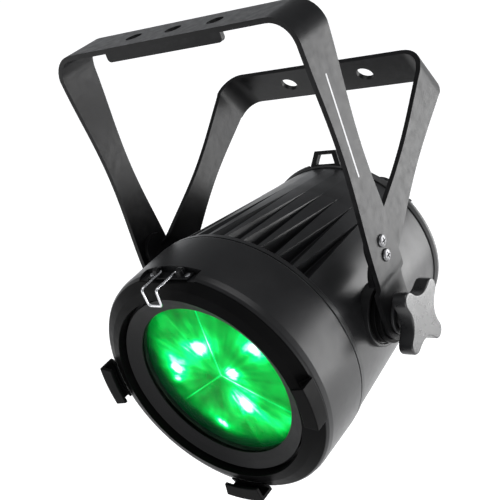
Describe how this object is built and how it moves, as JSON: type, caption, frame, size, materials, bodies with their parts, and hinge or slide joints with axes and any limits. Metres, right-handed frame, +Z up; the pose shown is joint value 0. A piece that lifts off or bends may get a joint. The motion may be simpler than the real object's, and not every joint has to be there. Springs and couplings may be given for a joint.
{
  "type": "par can light",
  "caption": "Zoom par can stage light with a finned conical head, hooked accessory clips and a wire latch, tilting between hand knobs in a fixed V-shaped double bracket.",
  "frame": {"origin": "middle clamp hole, on the top face of the front bracket's crosspiece", "axes": "+X along the tilt axis, +Z up, the lamp faces -Y"},
  "size_m": [0.266, 0.3028, 0.346],
  "materials": {
    "black_coat": "matt black powder coat, faint orange peel",
    "satin_coat": "satin black powder coat over cast aluminium",
    "bright_steel": "bright zinc-plated steel",
    "black_rubber": "matt black rubber",
    "black_plastic": "fine-grained black nylon",
    "clear_glass": "clear toughened glass",
    "green_lens": "clear acrylic lens lit green from behind",
    "emitter": "light-emitting diode under silicone, switched on",
    "board_green": "printed circuit board",
    "brass": "turned brass",
    "aluminium": "plain aluminium"
  },
  "bodies": {
    "bracket": {"front_bracket": "black_coat", "rear_bracket": "black_coat", "bracket_screw_left_1": "bright_steel", "bracket_screw_left_2": "bright_steel", "bracket_screw_right_1": "bright_steel", "bracket_screw_right_2": "bright_steel"},
    "head": {"housing": "satin_coat", "bezel": "satin_coat", "bezel_gasket": "black_rubber", "accessory_ring": "black_coat", "frame_clip_right": "black_coat", "frame_clip_left": "black_coat", "frame_clip_bottom": "black_coat", "trim_ring": "black_coat", "front_glass": "clear_glass", "glass_gasket": "black_rubber", "glass_clamp_ring": "black_coat", "latch_lugs": "black_coat", "guide_rod_1": "bright_steel", "guide_rod_2": "bright_steel", "guide_rod_3": "bright_steel", "zoom_motor": "black_coat", "led_board": "aluminium", "led_emitter_1": "emitter", "led_emitter_2": "emitter", "led_emitter_3": "emitter", "mixing_rod_1": "clear_glass", "mixing_rod_2": "clear_glass", "mixing_rod_3": "clear_glass", "rod_holder": "black_plastic", "led_driver": "aluminium", "friction_washer_left": "black_rubber", "friction_washer_right": "black_rubber", "knob_spacer_left": "black_plastic", "knob_spacer_right": "black_plastic", "rear_gasket": "black_rubber", "rear_cover": "black_coat", "display_window": "clear_glass", "control_board": "board_green", "data_input": "black_plastic", "data_output": "black_plastic", "power_input": "black_plastic", "power_output": "black_plastic", "cover_screw_1": "bright_steel", "cover_screw_2": "bright_steel", "cover_screw_3": "bright_steel", "safety_loop": "black_coat"},
    "tilt_knob_left": {"tilt_knob_left": "black_plastic"},
    "tilt_knob_right": {"tilt_knob_right": "black_plastic"},
    "latch": {"latch_wire": "bright_steel"},
    "zoom_carriage": {"lens_sector_1": "green_lens", "lens_sector_2": "green_lens", "lens_sector_3": "green_lens", "lens_carriage": "black_plastic", "zoom_nut": "brass"},
    "lead_screw": {"zoom_lead_screw": "bright_steel"},
    "menu_button_1": {"button_1": "black_rubber"},
    "menu_button_2": {"button_2": "black_rubber"},
    "menu_button_3": {"button_3": "black_rubber"},
    "menu_button_4": {"button_4": "black_rubber"}
  },
  "joints": [
    {"name": "head_tilt", "type": "hinge", "parent": "bracket", "child": "head", "pos_m": [0, 0, -0.2448], "axis": [1, 0, 0], "continuous": true},
    {"name": "tilt_knob_left_turn", "type": "hinge", "parent": "head", "child": "tilt_knob_left", "pos_m": [-0.127, 0, -0.2448], "axis": [1, 0, 0], "continuous": true},
    {"name": "tilt_knob_right_turn", "type": "hinge", "parent": "head", "child": "tilt_knob_right", "pos_m": [0.127, 0, -0.2448], "axis": [1, 0, 0], "continuous": true},
    {"name": "latch_swing", "type": "hinge", "parent": "head", "child": "latch", "pos_m": [0, -0.0955, -0.1468], "axis": [-1, 0, 0], "range_deg": [0, 110]},
    {"name": "zoom_slide", "type": "slide", "parent": "head", "child": "zoom_carriage", "axis": [0, 1, 0], "range_m": [0, 0.022]},
    {"name": "lead_screw_turn", "type": "hinge", "parent": "head", "child": "lead_screw", "pos_m": [0, -0.055, -0.1733], "axis": [0, -1, 0], "range_deg": [0, 331]},
    {"name": "menu_button_1_press", "type": "slide", "parent": "head", "child": "menu_button_1", "axis": [0, -1, 0], "range_m": [0, 0.0009], "stiffness_N_per_m": 400, "springref_m": -0.001},
    {"name": "menu_button_2_press", "type": "slide", "parent": "head", "child": "menu_button_2", "axis": [0, -1, 0], "range_m": [0, 0.0009], "stiffness_N_per_m": 400, "springref_m": -0.001},
    {"name": "menu_button_3_press", "type": "slide", "parent": "head", "child": "menu_button_3", "axis": [0, -1, 0], "range_m": [0, 0.0009], "stiffness_N_per_m": 400, "springref_m": -0.001},
    {"name": "menu_button_4_press", "type": "slide", "parent": "head", "child": "menu_button_4", "axis": [0, -1, 0], "range_m": [0, 0.0009], "stiffness_N_per_m": 400, "springref_m": -0.001}
  ],
  "couplings": [
    {"joint": "lead_screw_turn", "follows": "zoom_slide", "rad_per_m": 261.8}
  ]
}
